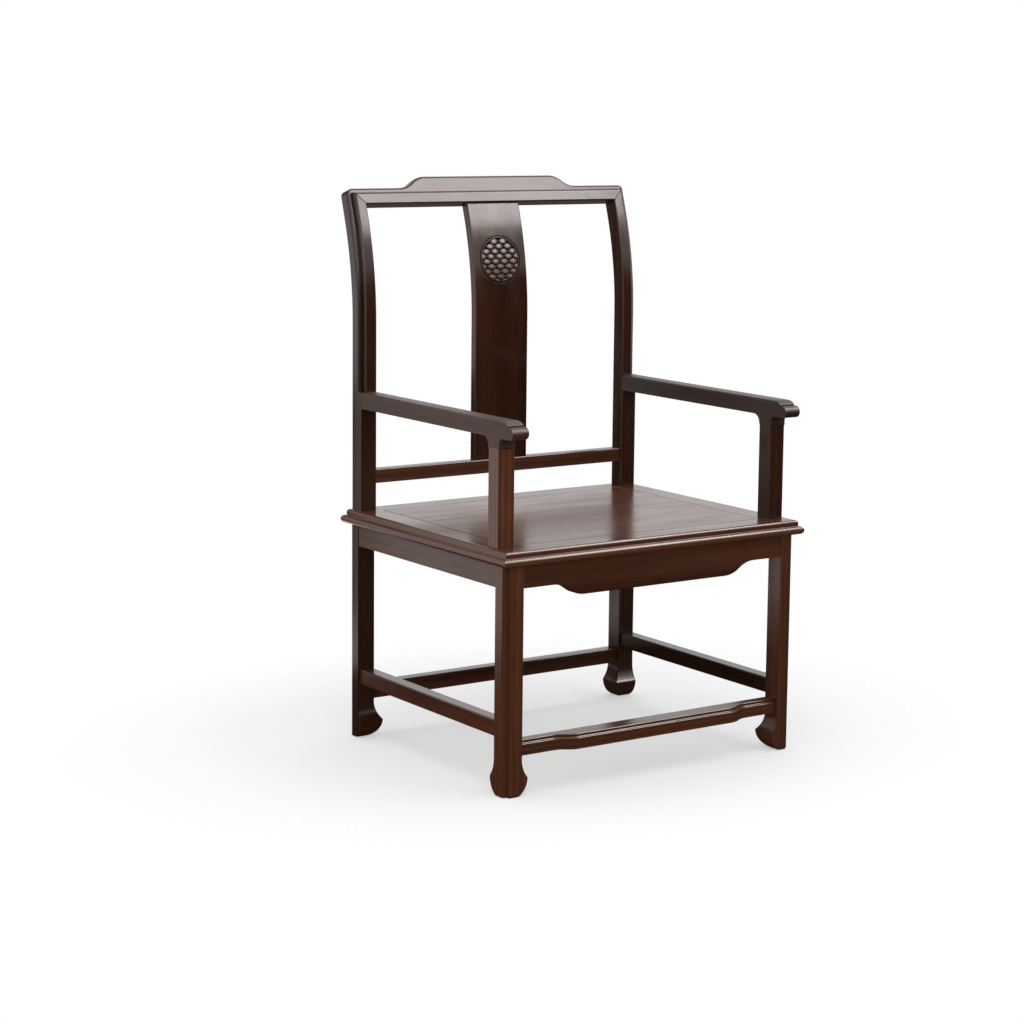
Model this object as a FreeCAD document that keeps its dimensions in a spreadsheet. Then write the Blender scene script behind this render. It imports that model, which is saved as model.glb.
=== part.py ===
import FreeCAD, Part
import math
import operator
import os
from collections import defaultdict
from types import SimpleNamespace

import Sketcher
from FreeCAD import Placement, Rotation, Vector

# Armchair of dark wood: four hoof-footed legs, a mitred seat frame, a leaning back and two arms.
# Millimetres, front towards -Y, +X to the viewer's right from the front, floor at z = 0.

# Driving sizes
SIZES = {
    "overall_width": 680,
    "overall_depth": 600,
    "overall_height": 1070,
    "seat_height": 442,
    "rail_margin": 12.5,
    "rail_thickness": 26.5,
    "nose_radius": 7.5,
    "bead_inset": 8.5,
    "bead_round": 5.5,
    "panel_thickness": 12,
    "panel_gap": 0.6,
    "tongue_thickness": 5,
    "tongue_depth": 6,
    "batten_width": 40,
    "batten_thickness": 12,
    "dovetail_depth": 4,
    "dovetail_flare": 3,
    "frame_tenon_rise": 2.5,
    "frame_tenon_inset": 2,
    "mitre_tenon_width": 11,
    "mitre_tenon_length": 40,
    "side_overhang": 11.5,
    "front_overhang": 10,
    "rear_overhang": 9.5,
    "leg_size": 36,
    "leg_tenon_size": 16,
    "leg_tenon_length": 12,
    "hoof_height": 67,
    "hoof_ridge": 34,
    "hoof_swell": 12.5,
    "sole_width": 28,
    "foot_round": 3,
    "notch": 10,
    "arris_round": 5.5,
    "post_size": 34,
    "post_offset": 3,
    "bend_rise": 129,
    "lean": 17.5,
    "lean_run": 19.4,
    "crest_raise": 21.9,
    "crest_flat_half": 146,
    "crest_ramp": 60,
    "corner_round": 15,
    "crest_tenon_width": 12,
    "crest_tenon_thickness": 10,
    "crest_tenon_height": 8,
    "splat_width": 121.5,
    "splat_thickness": 18.5,
    "splat_shoulder": 15,
    "splat_tenon_thickness": 9,
    "splat_tenon_length": 12,
    "medallion_angle": 9.6,
    "medallion_radius": 47,
    "medallion_ring_width": 2,
    "medallion_field_radius": 42,
    "carving_depth": 1.5,
    "back_rail_rise": 50.3,
    "back_rail_height": 27.2,
    "back_rail_depth": 24,
    "arm_rise": 196,
    "arm_thickness": 31,
    "arm_nose_setback": 3,
    "arm_nose_height": 21.5,
    "arm_step_height": 2.5,
    "arm_step_setback": 17,
    "arm_round_length": 18,
    "arm_edge_round": 4,
    "lug_collar": 2.5,
    "lug_front_cove": 10,
    "lug_rear_cove": 17,
    "joint_vee": 1.5,
    "arm_post_size": 34,
    "arm_post_setback": 36,
    "arm_post_tenon_size": 14,
    "arm_post_tenon_length": 11,
    "apron_height": 40.8,
    "apron_drop": 23.2,
    "apron_thickness": 18,
    "apron_inset": 1,
    "apron_flat_half": 160,
    "apron_ogee": 68,
    "edge_round": 2.5,
    "side_stretcher_rise": 38,
    "side_stretcher_height": 30,
    "side_stretcher_width": 27,
    "side_stretcher_inset": 5,
    "rear_stretcher_rise": 5.3,
    "rear_stretcher_height": 30,
    "rear_stretcher_width": 26,
    "rear_stretcher_inset": 5,
    "front_stretcher_rise": 5.6,
    "front_stretcher_height": 27.2,
    "front_stretcher_width": 26,
    "front_stretcher_inset": 6,
    "front_stretcher_bow": 16,
    "front_stretcher_flat_half": 174,
    "front_stretcher_ogee": 47,
    "front_stretcher_step": 6,
    "tenon_thickness": 10,
    "tenon_length": 15,
    "tenon_shoulder": 5,
    "peg_diameter": 6,
    "peg_length": 26,
    "peg_inset": 9,
    "peg_drop": 4.5,
    "clearance": 0.1,
}

doc = FreeCAD.newDocument("armchair")
sheet = doc.addObject("Spreadsheet::Sheet", "sizes")
for row, (alias, number) in enumerate(SIZES.items(), start=1):
    sheet.set(f"A{row}", alias)
    sheet.set(f"B{row}", str(number))
    sheet.setAlias(f"B{row}", alias)
doc.recompute()

# Sizes that keep the cell formula they come from
OPERATIONS = {"+": operator.add, "-": operator.sub, "*": operator.mul, "/": operator.truediv}


class Size:
    """A number together with the cell formula that gives it."""

    def __init__(self, value, formula):
        self.value = value
        self.formula = formula

    def __add__(self, other):
        return combine(self, "+", other)

    def __radd__(self, other):
        return combine(other, "+", self)

    def __sub__(self, other):
        return combine(self, "-", other)

    def __rsub__(self, other):
        return combine(other, "-", self)

    def __mul__(self, other):
        return combine(self, "*", other)

    def __rmul__(self, other):
        return combine(other, "*", self)

    def __truediv__(self, other):
        return combine(self, "/", other)

    def __neg__(self):
        return combine(-1, "*", self)


def as_size(number):
    return number if isinstance(number, Size) else Size(number, f"({number})")


def combine(first, sign, second):
    first = as_size(first)
    second = as_size(second)
    value = OPERATIONS[sign](first.value, second.value)
    return Size(value, f"({first.formula} {sign} {second.formula})")


def sine(angle):
    return Size(math.sin(math.radians(angle.value)), f"sin({angle.formula} * 1 deg)")


def cosine(angle):
    return Size(math.cos(math.radians(angle.value)), f"cos({angle.formula} * 1 deg)")


def ogee_radius(run, rise):
    """Radius of two equal arcs that swing from one level to another and end level."""
    return (run * run + rise * rise) / (4 * rise)


size = SimpleNamespace(**{alias: Size(sheet.get(alias), f"sizes.{alias}") for alias in SIZES})


# Drawing helpers
def arc(start, end, radius):
    """Arc of under a half circle between two points, anticlockwise from start to end."""
    chord = end - start
    reach = math.sqrt(max(radius ** 2 - (chord.Length / 2) ** 2, 0))
    centre = (start + end) / 2 + Vector(-chord.y, chord.x, 0).normalize() * reach
    circle = Part.Circle(centre, Vector(0, 0, 1), radius)
    return Part.ArcOfCircle(circle, circle.parameter(start), circle.parameter(end))


def bind(sketch, kind, *place, number):
    mark = sketch.addConstraint(Sketcher.Constraint(kind, *place, number.value))
    sketch.setExpression(f"Constraints[{mark}]", number.formula)


def draw(sketch, points, closed=True):
    """Outline; a point with a radius is reached by an arc, anticlockwise if positive."""
    points = [[as_size(number) for number in point] for point in points]
    corners = [Vector(point[0].value, point[1].value, 0) for point in points]
    steps = range(len(points)) if closed else range(1, len(points))
    ends = []
    for step in steps:
        start = corners[step - 1]
        end = corners[step]
        turn = points[step][2].value if len(points[step]) == 3 else 0
        if turn == 0:
            sketch.addGeometry(Part.LineSegment(start, end))
        elif turn > 0:
            sketch.addGeometry(arc(start, end, turn))
        else:
            sketch.addGeometry(arc(end, start, -turn))
        ends.append((1, 2) if turn >= 0 else (2, 1))
    if not closed:
        bind(sketch, "DistanceX", 0, ends[0][0], number=points[0][0])
        bind(sketch, "DistanceY", 0, ends[0][0], number=points[0][1])
    for edge, step in enumerate(steps):
        head, tail = ends[edge]
        bind(sketch, "DistanceX", edge, tail, number=points[step][0])
        bind(sketch, "DistanceY", edge, tail, number=points[step][1])
        if edge > 0 or closed:
            before = (edge - 1) % len(steps)
            sketch.addConstraint(Sketcher.Constraint("Coincident", before, ends[before][1], edge, head))
        if len(points[step]) == 3:
            radius = points[step][2]
            bind(sketch, "Radius", edge, number=radius if radius.value > 0 else -radius)


def new_sketch(body, name, plane, level):
    """Sketch on one of the body's origin planes, moved along that plane's axis."""
    sketch = body.newObject("Sketcher::SketchObject", f"{body.Name}_{name}")
    planes = {feature.Role: feature for feature in body.Origin.OriginFeatures}
    sketch.AttachmentSupport = [(planes[f"{plane}_Plane"], "")]
    sketch.MapMode = "FlatFace"
    offset = -level if plane == "XZ" else level
    sketch.setExpression("AttachmentOffset.Base.z", as_size(offset).formula)
    return sketch


def slab(name, plane, points, limits):
    """Outline drawn on an origin plane and padded between two limits along the third axis."""
    low, high = (as_size(limit) for limit in limits)
    body = doc.addObject("PartDesign::Body", name)
    sketch = new_sketch(body, "outline", plane, high if plane == "XZ" else low)
    draw(sketch, points)
    pad = body.newObject("PartDesign::Pad", f"{name}_pad")
    pad.Profile = sketch
    pad.setExpression("Length", (high - low).formula)
    return body


def block(name, x, y, z):
    """Block between two limits along each axis."""
    solid = doc.addObject("Part::Box", name)
    for side, axis, (low, high) in (("Length", "x", x), ("Width", "y", y), ("Height", "z", z)):
        solid.setExpression(side, (high - low).formula)
        solid.setExpression(f"Placement.Base.{axis}", as_size(low).formula)
    return solid


def soften(body, radius, chosen):
    """Fillet on those edges of a body that a test chooses."""
    doc.recompute()
    base = body.Tip
    names = [f"Edge{mark}" for mark, edge in enumerate(base.Shape.Edges, start=1) if chosen(edge)]
    fillet = body.newObject("PartDesign::Fillet", f"{body.Name}_fillet")
    fillet.Base = (base, names)
    fillet.setExpression("Radius", radius.formula)


def flat_along(axis, edge):
    """Whether an edge lies in a plane across an axis."""
    return getattr(edge.BoundBox, f"{axis}Length") < size.clearance.value


def boolean(kind, name, base, tool):
    result = doc.addObject(f"Part::{kind}", name)
    result.Base = base
    result.Tool = tool
    return result


def gathered(name, solids):
    """All the solids as one, or the only one of them."""
    if len(solids) == 1:
        return solids[0]
    group = doc.addObject("Part::MultiFuse", name)
    group.Shapes = solids
    group.Refine = True
    return group


def rectangle(x, y):
    return [(x[0], y[0]), (x[1], y[0]), (x[1], y[1]), (x[0], y[1])]


def rounded_rectangle(x, y, radius):
    left, right = x
    low, high = y
    return [
        (left, low + radius),
        (left + radius, low, radius),
        (right - radius, low),
        (right, low + radius, radius),
        (right, high - radius),
        (right - radius, high, radius),
        (left + radius, high),
        (left, high - radius, radius),
    ]


def placed(points, origin, direction):
    """Outline given as depths from a face, set along an axis from that face."""
    return [
        (origin + direction * point[0], point[1], *(direction * radius for radius in point[2:]))
        for point in points
    ]


def swapped(points):
    """Outline with its two axes exchanged."""
    return [(point[1], point[0], *(-radius for radius in point[2:])) for point in points]


def span(side, low, high):
    """Limits on the right of the middle, or their mirror image on the left."""
    return (low, high) if side > 0 else (-high, -low)


def inward(face, direction, depth):
    """Limits from a face to a depth behind it."""
    return (face, face + depth) if direction > 0 else (face - depth, face)


def middle(centre, width):
    return (centre - width / 2, centre + width / 2)


# Blanks by sub-part name, what is joined to each and what is cut from each
blanks = {}
joins = defaultdict(list)
cuts = defaultdict(list)


def tenon(owner, receiver, x, y, z):
    """Block that is part of its owner and, grown by the clearance, is cut from the receiver."""
    joins[owner].append(block(f"{owner}_tenon", x, y, z))
    grown = [(low - size.clearance, high + size.clearance) for low, high in (x, y, z)]
    cuts[receiver].append(block(f"{receiver}_mortise", *grown))


SIDES = (("left", -1), ("right", 1))
HALF_RIGHT_ANGLE = Size(45, "45")

# Reference faces, worked out from the driving sizes
seat_half = size.overall_width / 2
seat_front = -size.overall_depth / 2
seat_under = size.seat_height - size.rail_thickness
rail_width = size.side_overhang + size.leg_size + size.rail_margin
leg_outer = seat_half - size.side_overhang
leg_inner = leg_outer - size.leg_size
leg_front = seat_front + size.front_overhang
leg_front_inner = leg_front + size.leg_size
post_inner = leg_inner - size.post_offset
post_outer = post_inner + size.post_size
post_middle = (post_inner + post_outer) / 2

arm_bottom = size.seat_height + size.arm_rise
arm_top = arm_bottom + size.arm_thickness

# The back's side curve: upright, an arc, then a straight lean
lean_sine = sine(size.lean)
lean_cosine = cosine(size.lean)
crest_low = size.lean_run
crest_high = crest_low + size.post_size
crest_top = crest_high + size.crest_raise
round_reach = crest_top - size.arris_round
round_front = size.notch + size.arris_round
round_rear = size.post_size - size.arris_round
lean_height = size.overall_height - size.arris_round + round_front * lean_sine - round_reach * lean_cosine
bend_height = arm_top + size.bend_rise
bend_radius = (lean_height - bend_height) / lean_sine
back_reach = round_reach * lean_sine + round_rear * lean_cosine + size.arris_round
lean_start = size.overall_depth / 2 - back_reach
post_front = lean_start - bend_radius * (1 - lean_cosine)
leg_rear_inner = post_front + size.post_offset
leg_rear = leg_rear_inner + size.leg_size
seat_rear = leg_rear + size.rear_overhang


def on_lean(depth, reach):
    """Point on the leaning stretch, by depth behind its front face and reach along it."""
    y = lean_start + reach * lean_sine + depth * lean_cosine
    z = lean_height + reach * lean_cosine - depth * lean_sine
    return y, z


def back_strip(front, rear, bottom, reach):
    """Side outline of a board that follows the back's curve between two depths."""
    return [
        (post_front + front, bottom),
        (post_front + rear, bottom),
        (post_front + rear, bend_height),
        (*on_lean(rear, 0), rear - bend_radius),
        on_lean(rear, reach),
        on_lean(front, reach),
        on_lean(front, 0),
        (post_front + front, bend_height, bend_radius - front),
    ]


def leaning_slab(name, points, limits, plane="XZ"):
    """Slab drawn as if upright on the front face, then leaned back with it."""
    body = slab(name, plane, points, limits)
    body.Placement = Placement(Vector(), Rotation(Vector(-1, 0, 0), size.lean.value))
    body.setExpression("Placement.Base.y", lean_start.formula)
    body.setExpression("Placement.Base.z", lean_height.formula)
    body.setExpression("Placement.Rotation.Angle", size.lean.formula)
    return body


def leaning_tenon(owner, receiver, x, depth, reach):
    joins[owner].append(leaning_slab(f"{owner}_tenon", rectangle(x, reach), depth))
    grown = [(low - size.clearance, high + size.clearance) for low, high in (x, depth, reach)]
    cuts[receiver].append(leaning_slab(f"{receiver}_mortise", rectangle(grown[0], grown[2]), grown[1]))


# Legs: two hoof outlines cross, and the outer corner carries a square notch
hoof_drop = size.hoof_height - size.hoof_ridge
hoof_radius = (size.hoof_swell * size.hoof_swell + hoof_drop * hoof_drop) / (2 * size.hoof_swell)
foot_reach = size.leg_size + size.hoof_swell
toe_run = foot_reach - size.sole_width
toe_radius = (toe_run * toe_run + size.hoof_ridge * size.hoof_ridge) / (2 * toe_run)
hoof_outline = [
    (0, size.foot_round),
    (size.foot_round, 0, size.foot_round),
    (size.sole_width, 0),
    (foot_reach, size.hoof_ridge, toe_radius),
    (size.leg_size, size.hoof_height, -hoof_radius),
    (size.leg_size, seat_under),
    (0, seat_under),
]


def hoof_leg(name, side, face, direction):
    across = slab(
        f"{name}_front_view",
        "XZ",
        placed(hoof_outline, side * leg_outer, -side),
        inward(face, direction, foot_reach),
    )
    along = slab(
        f"{name}_side_view",
        "YZ",
        placed(hoof_outline, face, direction),
        span(side, leg_outer - foot_reach, leg_outer),
    )
    corner = [
        (leg_outer, 0),
        (leg_outer, size.notch + size.arris_round),
        (leg_outer - size.arris_round, size.notch, -size.arris_round),
        (leg_outer - size.notch, size.notch),
        (leg_outer - size.notch, size.arris_round),
        (leg_outer - size.notch - size.arris_round, 0, -size.arris_round),
    ]
    corner = swapped(placed(swapped(corner), face, direction))
    notch = slab(f"{name}_notch", "XY", placed(corner, 0, side), (0, seat_under))
    return boolean("Cut", f"{name}_notched", boolean("Common", f"{name}_crossed", across, along), notch)


for hand, side in SIDES:
    name = f"leg_front_{hand}"
    blanks[name] = hoof_leg(name, side, leg_front, 1)
    tenon(
        name,
        f"seat_rail_{hand}",
        middle(side * (leg_outer + leg_inner) / 2, size.leg_tenon_size),
        middle((leg_front + leg_front_inner) / 2, size.leg_tenon_size),
        (seat_under - size.tenon_shoulder, seat_under + size.leg_tenon_length),
    )
    cuts["seat_rail_front"].append(cuts[f"seat_rail_{hand}"][-1])

# Section of a post, from its inner front corner: the outer front corner carries the notch
post_edge = size.post_size - size.notch
post_section = [
    (0, size.edge_round),
    (size.edge_round, 0, size.edge_round),
    (post_edge - size.arris_round, 0),
    (post_edge, size.arris_round, size.arris_round),
    (post_edge, size.notch),
    (size.post_size - size.arris_round, size.notch),
    (size.post_size, size.notch + size.arris_round, size.arris_round),
    (size.post_size, size.post_size - size.edge_round),
    (size.post_size - size.edge_round, size.post_size, size.edge_round),
    (size.edge_round, size.post_size),
    (0, size.post_size - size.edge_round, size.edge_round),
]


def leaning_post(name, side):
    """The notched section swept up the back's curve from the arm."""
    body = doc.addObject("PartDesign::Body", name)
    section = new_sketch(body, "section", "XY", arm_top)
    outline = [(post_inner + point[0], post_front + point[1], *point[2:]) for point in post_section]
    draw(section, placed(outline, 0, side))
    path = new_sketch(body, "path", "YZ", side * post_inner)
    draw(
        path,
        [
            (post_front, arm_top),
            (post_front, bend_height),
            (*on_lean(0, 0), -bend_radius),
            on_lean(0, crest_high),
        ],
        closed=False,
    )
    pipe = body.newObject("PartDesign::AdditivePipe", f"{name}_pipe")
    pipe.Profile = section
    pipe.Spine = (path, ["Edge1", "Edge2", "Edge3"])
    return body


# Back legs: the leg carries on through the seat corner as a leaning post
mitre_inset = size.corner_round * (1 - cosine(HALF_RIGHT_ANGLE))
post_y = inward(post_front, 1, size.post_size)
for hand, side in SIDES:
    name = f"leg_back_{hand}"
    width = span(side, post_inner, post_outer)
    leg = hoof_leg(name, side, leg_rear, -1)
    neck = block(f"{name}_neck", width, post_y, (seat_under, size.seat_height))
    shaft = slab(
        f"{name}_shaft", "XY", rounded_rectangle(width, post_y, size.edge_round), (size.seat_height, arm_top)
    )
    whole = gathered(f"{name}_whole", [leg, neck, shaft, leaning_post(f"{name}_post", side)])
    mitre = [
        (0, crest_low),
        (size.post_size - mitre_inset, crest_high - mitre_inset),
        (size.post_size, crest_high - size.corner_round, -size.corner_round),
        (foot_reach, crest_high - size.corner_round),
        (foot_reach, crest_top),
        (0, crest_top),
    ]
    above = leaning_slab(f"{name}_above", placed(mitre, side * post_inner, side), (-size.notch, foot_reach))
    blanks[name] = boolean("Cut", f"{name}_mitred", whole, above)
    hole = block(f"{name}_through_hole", width, post_y, (seat_under, size.seat_height))
    cuts[f"seat_rail_{hand}"].append(hole)
    cuts["seat_rail_rear"].append(hole)

# Crest rail: the posts' section laid level and mitred, with a raised middle behind its step
crest_section = [(depth, crest_low + reach, *turn) for depth, reach, *turn in swapped(post_section)]
crest_bar = leaning_slab("crest_bar", crest_section, (-post_outer, post_outer), "YZ")
crest_mitres = leaning_slab(
    "crest_mitres",
    [
        (-post_inner, crest_low),
        (post_inner, crest_low),
        (post_outer - mitre_inset, crest_high - mitre_inset),
        (post_outer - size.corner_round, crest_high, size.corner_round),
        (size.corner_round - post_outer, crest_high),
        (mitre_inset - post_outer, crest_high - mitre_inset, size.corner_round),
    ],
    (0, size.post_size),
)
ramp = crest_top - crest_high
ramp_radius = ogee_radius(size.crest_ramp, ramp)
ramp_middle = size.crest_flat_half + size.crest_ramp / 2
ramp_foot = size.crest_flat_half + size.crest_ramp
ramp_level = crest_high + ramp / 2
ramp_base = crest_high - size.notch
crest_rise = leaning_slab(
    "crest_rise",
    [
        (-ramp_foot, ramp_base),
        (ramp_foot, ramp_base),
        (ramp_foot, crest_high),
        (ramp_middle, ramp_level, -ramp_radius),
        (size.crest_flat_half, crest_top, ramp_radius),
        (-size.crest_flat_half, crest_top),
        (-ramp_middle, ramp_level, ramp_radius),
        (-ramp_foot, crest_high, -ramp_radius),
    ],
    (size.notch, size.post_size),
)
soften(
    crest_rise,
    size.arris_round,
    lambda edge: flat_along("Y", edge) and edge.CenterOfGravity.z > crest_high.value - size.clearance.value,
)
crest_mitred = boolean("Common", "crest_mitred", crest_bar, crest_mitres)
blanks["crest_rail"] = boolean("Fuse", "crest_whole", crest_mitred, crest_rise)
crest_middle = (crest_low + crest_high) / 2
for hand, side in SIDES:
    leaning_tenon(
        f"leg_back_{hand}",
        "crest_rail",
        middle(side * post_middle, size.crest_tenon_width),
        middle((size.notch + size.post_size) / 2, size.crest_tenon_thickness),
        (crest_middle - size.post_size / 2, crest_middle + size.crest_tenon_height),
    )

# Splat: a curved board between the lower rail and the crest, with a sunk round for carving
splat_front = (size.post_size - size.splat_thickness) / 2
splat_rear = splat_front + size.splat_thickness
back_rail_low = size.seat_height + size.back_rail_rise
back_rail_top = back_rail_low + size.back_rail_height
splat_x = middle(0, size.splat_width)
blanks["back_splat"] = slab(
    "splat_blank", "YZ", back_strip(splat_front, splat_rear, back_rail_top, crest_low), splat_x
)
splat_end_rise = size.splat_thickness * lean_sine + size.clearance
soften(
    blanks["back_splat"],
    size.edge_round,
    lambda edge: flat_along("X", edge) and edge.BoundBox.ZLength > splat_end_rise.value,
)
splat_tenon_x = middle(0, size.splat_width - 2 * size.splat_shoulder)
splat_tenon_depth = middle(size.post_size / 2, size.splat_tenon_thickness)
leaning_tenon(
    "back_splat",
    "crest_rail",
    splat_tenon_x,
    splat_tenon_depth,
    (crest_low - size.splat_tenon_length, crest_low + size.splat_tenon_length),
)
tenon(
    "back_splat",
    "back_rail",
    splat_tenon_x,
    middle(post_front + size.post_size / 2, size.splat_tenon_thickness),
    (back_rail_top - size.splat_tenon_length, back_rail_top + size.splat_tenon_length),
)

# Medallion: a sunk field and a ring cut to an even depth into the curved face
disc_start = bend_radius + size.post_size
disc_y = post_front + bend_radius - disc_start * cosine(size.medallion_angle)
disc_z = bend_height + disc_start * sine(size.medallion_angle)
disc_tilt = 90 + size.medallion_angle


def medallion_disc(name, radius):
    disc = doc.addObject("Part::Cylinder", name)
    disc.Placement = Placement(Vector(), Rotation(Vector(-1, 0, 0), 90))
    disc.setExpression("Radius", radius.formula)
    disc.setExpression("Height", (2 * size.post_size).formula)
    disc.setExpression("Placement.Base.y", disc_y.formula)
    disc.setExpression("Placement.Base.z", disc_z.formula)
    disc.setExpression("Placement.Rotation.Angle", disc_tilt.formula)
    return disc


def face_layer(name):
    layer = back_strip(-size.splat_thickness, splat_front + size.carving_depth, back_rail_top, crest_low)
    return slab(name, "YZ", layer, splat_x)


field = medallion_disc("medallion_field", size.medallion_field_radius)
ring_outside = medallion_disc("medallion_ring_outside", size.medallion_radius)
ring_inside = medallion_disc("medallion_ring_inside", size.medallion_radius - size.medallion_ring_width)
ring = boolean("Cut", "medallion_ring", ring_outside, ring_inside)
carved = boolean("Fuse", "medallion_plan", field, ring)
cuts["back_splat"].append(boolean("Common", "medallion_cut", carved, face_layer("medallion_layer")))

# Lower back rail
back_rail_y = middle(post_front + size.post_size / 2, size.back_rail_depth)
blanks["back_rail"] = slab(
    "back_rail_blank",
    "YZ",
    rounded_rectangle(back_rail_y, (back_rail_low, back_rail_top), size.edge_round),
    (-post_inner, post_inner),
)
for hand, side in SIDES:
    tenon(
        "back_rail",
        f"leg_back_{hand}",
        span(side, post_inner - size.tenon_shoulder, post_inner + size.tenon_length),
        middle(post_front + size.post_size / 2, size.tenon_thickness),
        (back_rail_low + size.tenon_shoulder, back_rail_top - size.tenon_shoulder),
    )

# Arms: a stepped, rounded nose in front and a lug with coves over the arm post
arm_tip = seat_front + size.arm_nose_setback
nose_radius = size.arm_nose_height / 2
nose_top = arm_bottom + size.arm_nose_height
step_y = arm_tip + size.arm_step_setback
step_top = nose_top + size.arm_step_height
round_drop = arm_top - step_top
round_radius = (size.arm_round_length * size.arm_round_length + round_drop * round_drop) / (2 * round_drop)
lug_bottom = arm_bottom - size.lug_rear_cove - size.lug_collar
arm_post_front = leg_front + size.arm_post_setback
arm_post_rear = arm_post_front + size.arm_post_size
arm_outline = [
    (post_front, arm_bottom),
    (post_front, arm_top),
    (step_y + size.arm_round_length, arm_top),
    (step_y, step_top, round_radius),
    (step_y, nose_top),
    (arm_tip + nose_radius, nose_top),
    (arm_tip, arm_bottom + nose_radius, nose_radius),
    (arm_tip + nose_radius, arm_bottom, nose_radius),
    (arm_post_front - size.lug_front_cove, arm_bottom),
    (arm_post_front, arm_bottom - size.lug_front_cove, -size.lug_front_cove),
    (arm_post_front, lug_bottom + size.joint_vee),
    (arm_post_front + size.joint_vee, lug_bottom),
    (arm_post_rear - size.joint_vee, lug_bottom),
    (arm_post_rear, lug_bottom + size.joint_vee),
    (arm_post_rear, arm_bottom - size.lug_rear_cove),
    (arm_post_rear + size.lug_rear_cove, arm_bottom, -size.lug_rear_cove),
]
for hand, side in SIDES:
    name = f"arm_{hand}"
    width = span(side, post_inner, post_outer)
    profile = slab(f"{name}_side_view", "YZ", arm_outline, width)
    section = [
        (width[0], lug_bottom),
        (width[1], lug_bottom),
        (width[1], arm_top - size.arm_edge_round),
        (width[1] - size.arm_edge_round, arm_top, size.arm_edge_round),
        (width[0] + size.arm_edge_round, arm_top),
        (width[0], arm_top - size.arm_edge_round, size.arm_edge_round),
    ]
    bar = slab(f"{name}_front_view", "XZ", section, (arm_tip, post_front))
    blanks[name] = boolean("Common", f"{name}_blank", profile, bar)
    tenon(
        name,
        f"leg_back_{hand}",
        middle(side * post_middle, size.tenon_thickness),
        (post_front - size.tenon_shoulder, post_front + size.tenon_length),
        (arm_bottom + size.tenon_shoulder, arm_top - size.tenon_shoulder),
    )

# Arm posts
arm_post_y = (arm_post_front, arm_post_rear)
arm_post_centre = (arm_post_front + arm_post_rear) / 2
for hand, side in SIDES:
    name = f"arm_post_{hand}"
    arm_post_x = middle(side * post_middle, size.arm_post_size)
    blanks[name] = slab(
        f"{name}_blank",
        "XY",
        rounded_rectangle(arm_post_x, arm_post_y, size.edge_round),
        (size.seat_height, lug_bottom),
    )
    tenon_x = middle(side * post_middle, size.arm_post_tenon_size)
    tenon_y = middle(arm_post_centre, size.arm_post_tenon_size)
    foot = (size.seat_height - size.arm_post_tenon_length, size.seat_height + size.tenon_shoulder)
    head = (lug_bottom - size.tenon_shoulder, arm_bottom)
    tenon(name, f"seat_rail_{hand}", tenon_x, tenon_y, foot)
    tenon(name, f"arm_{hand}", tenon_x, tenon_y, head)

# Seat frame: four moulded rails, mitred, with a groove for the panel
groove_low = size.seat_height - size.panel_thickness
groove_high = groove_low + size.tongue_thickness
groove_floor = rail_width - size.tongue_depth - size.panel_gap
bead_low = seat_under + 2 * size.nose_radius
rail_section = [
    (rail_width, seat_under),
    (rail_width, groove_low),
    (groove_floor, groove_low),
    (groove_floor, groove_high + size.clearance),
    (rail_width, groove_high + size.clearance),
    (rail_width, size.seat_height),
    (size.bead_inset + size.bead_round, size.seat_height),
    (size.bead_inset, size.seat_height - size.bead_round, size.bead_round),
    (size.bead_inset, bead_low),
    (size.nose_radius, bead_low),
    (0, seat_under + size.nose_radius, size.nose_radius),
    (size.nose_radius, seat_under, size.nose_radius),
]
panel_half = seat_half - rail_width
panel_front = seat_front + rail_width
panel_rear = seat_rear - rail_width
frame_tenon_z = (seat_under + size.frame_tenon_rise, groove_low - size.frame_tenon_rise)


def mitred_rail(name, plane, section, length, plan):
    bar = slab(f"{name}_section", plane, section, length)
    trapezium = slab(f"{name}_plan", "XY", plan, (seat_under, size.seat_height))
    return boolean("Common", f"{name}_mitred", bar, trapezium)


for end, face, direction, inner in (
    ("front", seat_front, 1, panel_front),
    ("rear", seat_rear, -1, panel_rear),
):
    name = f"seat_rail_{end}"
    plan = [(-seat_half, face), (seat_half, face), (panel_half, inner), (-panel_half, inner)]
    section = placed(rail_section, face, direction)
    blanks[name] = mitred_rail(name, "YZ", section, (-seat_half, seat_half), plan)
    tenon_edge = inner - direction * size.frame_tenon_inset
    for hand, side in SIDES:
        tenon(
            name,
            f"seat_rail_{hand}",
            span(side, panel_half - size.tenon_length, panel_half + size.mitre_tenon_length),
            inward(tenon_edge, -direction, size.mitre_tenon_width),
            frame_tenon_z,
        )
for hand, side in SIDES:
    name = f"seat_rail_{hand}"
    face = side * seat_half
    inner = side * panel_half
    plan = [(face, seat_front), (face, seat_rear), (inner, panel_rear), (inner, panel_front)]
    section = placed(rail_section, face, -side)
    blanks[name] = mitred_rail(name, "XZ", section, (seat_front, seat_rear), plan)

# Seat panel: a flush board whose tongue sits in the rails' groove
tongue_y = (panel_front - size.tongue_depth, panel_rear + size.tongue_depth)
tongue_half = panel_half + size.tongue_depth
board_half = panel_half - size.panel_gap
blanks["seat_panel"] = block(
    "panel_board",
    (-board_half, board_half),
    (panel_front + size.panel_gap, panel_rear - size.panel_gap),
    (groove_low, size.seat_height),
)
joins["seat_panel"].append(
    block("panel_tongue", (-tongue_half, tongue_half), tongue_y, (groove_low, groove_high))
)

# Batten: dovetailed up into the panel and tenoned into the front and rear rails
batten_low = groove_low - size.batten_thickness
batten_half = size.batten_width / 2
neck = batten_half - 2 * size.dovetail_flare


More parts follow.
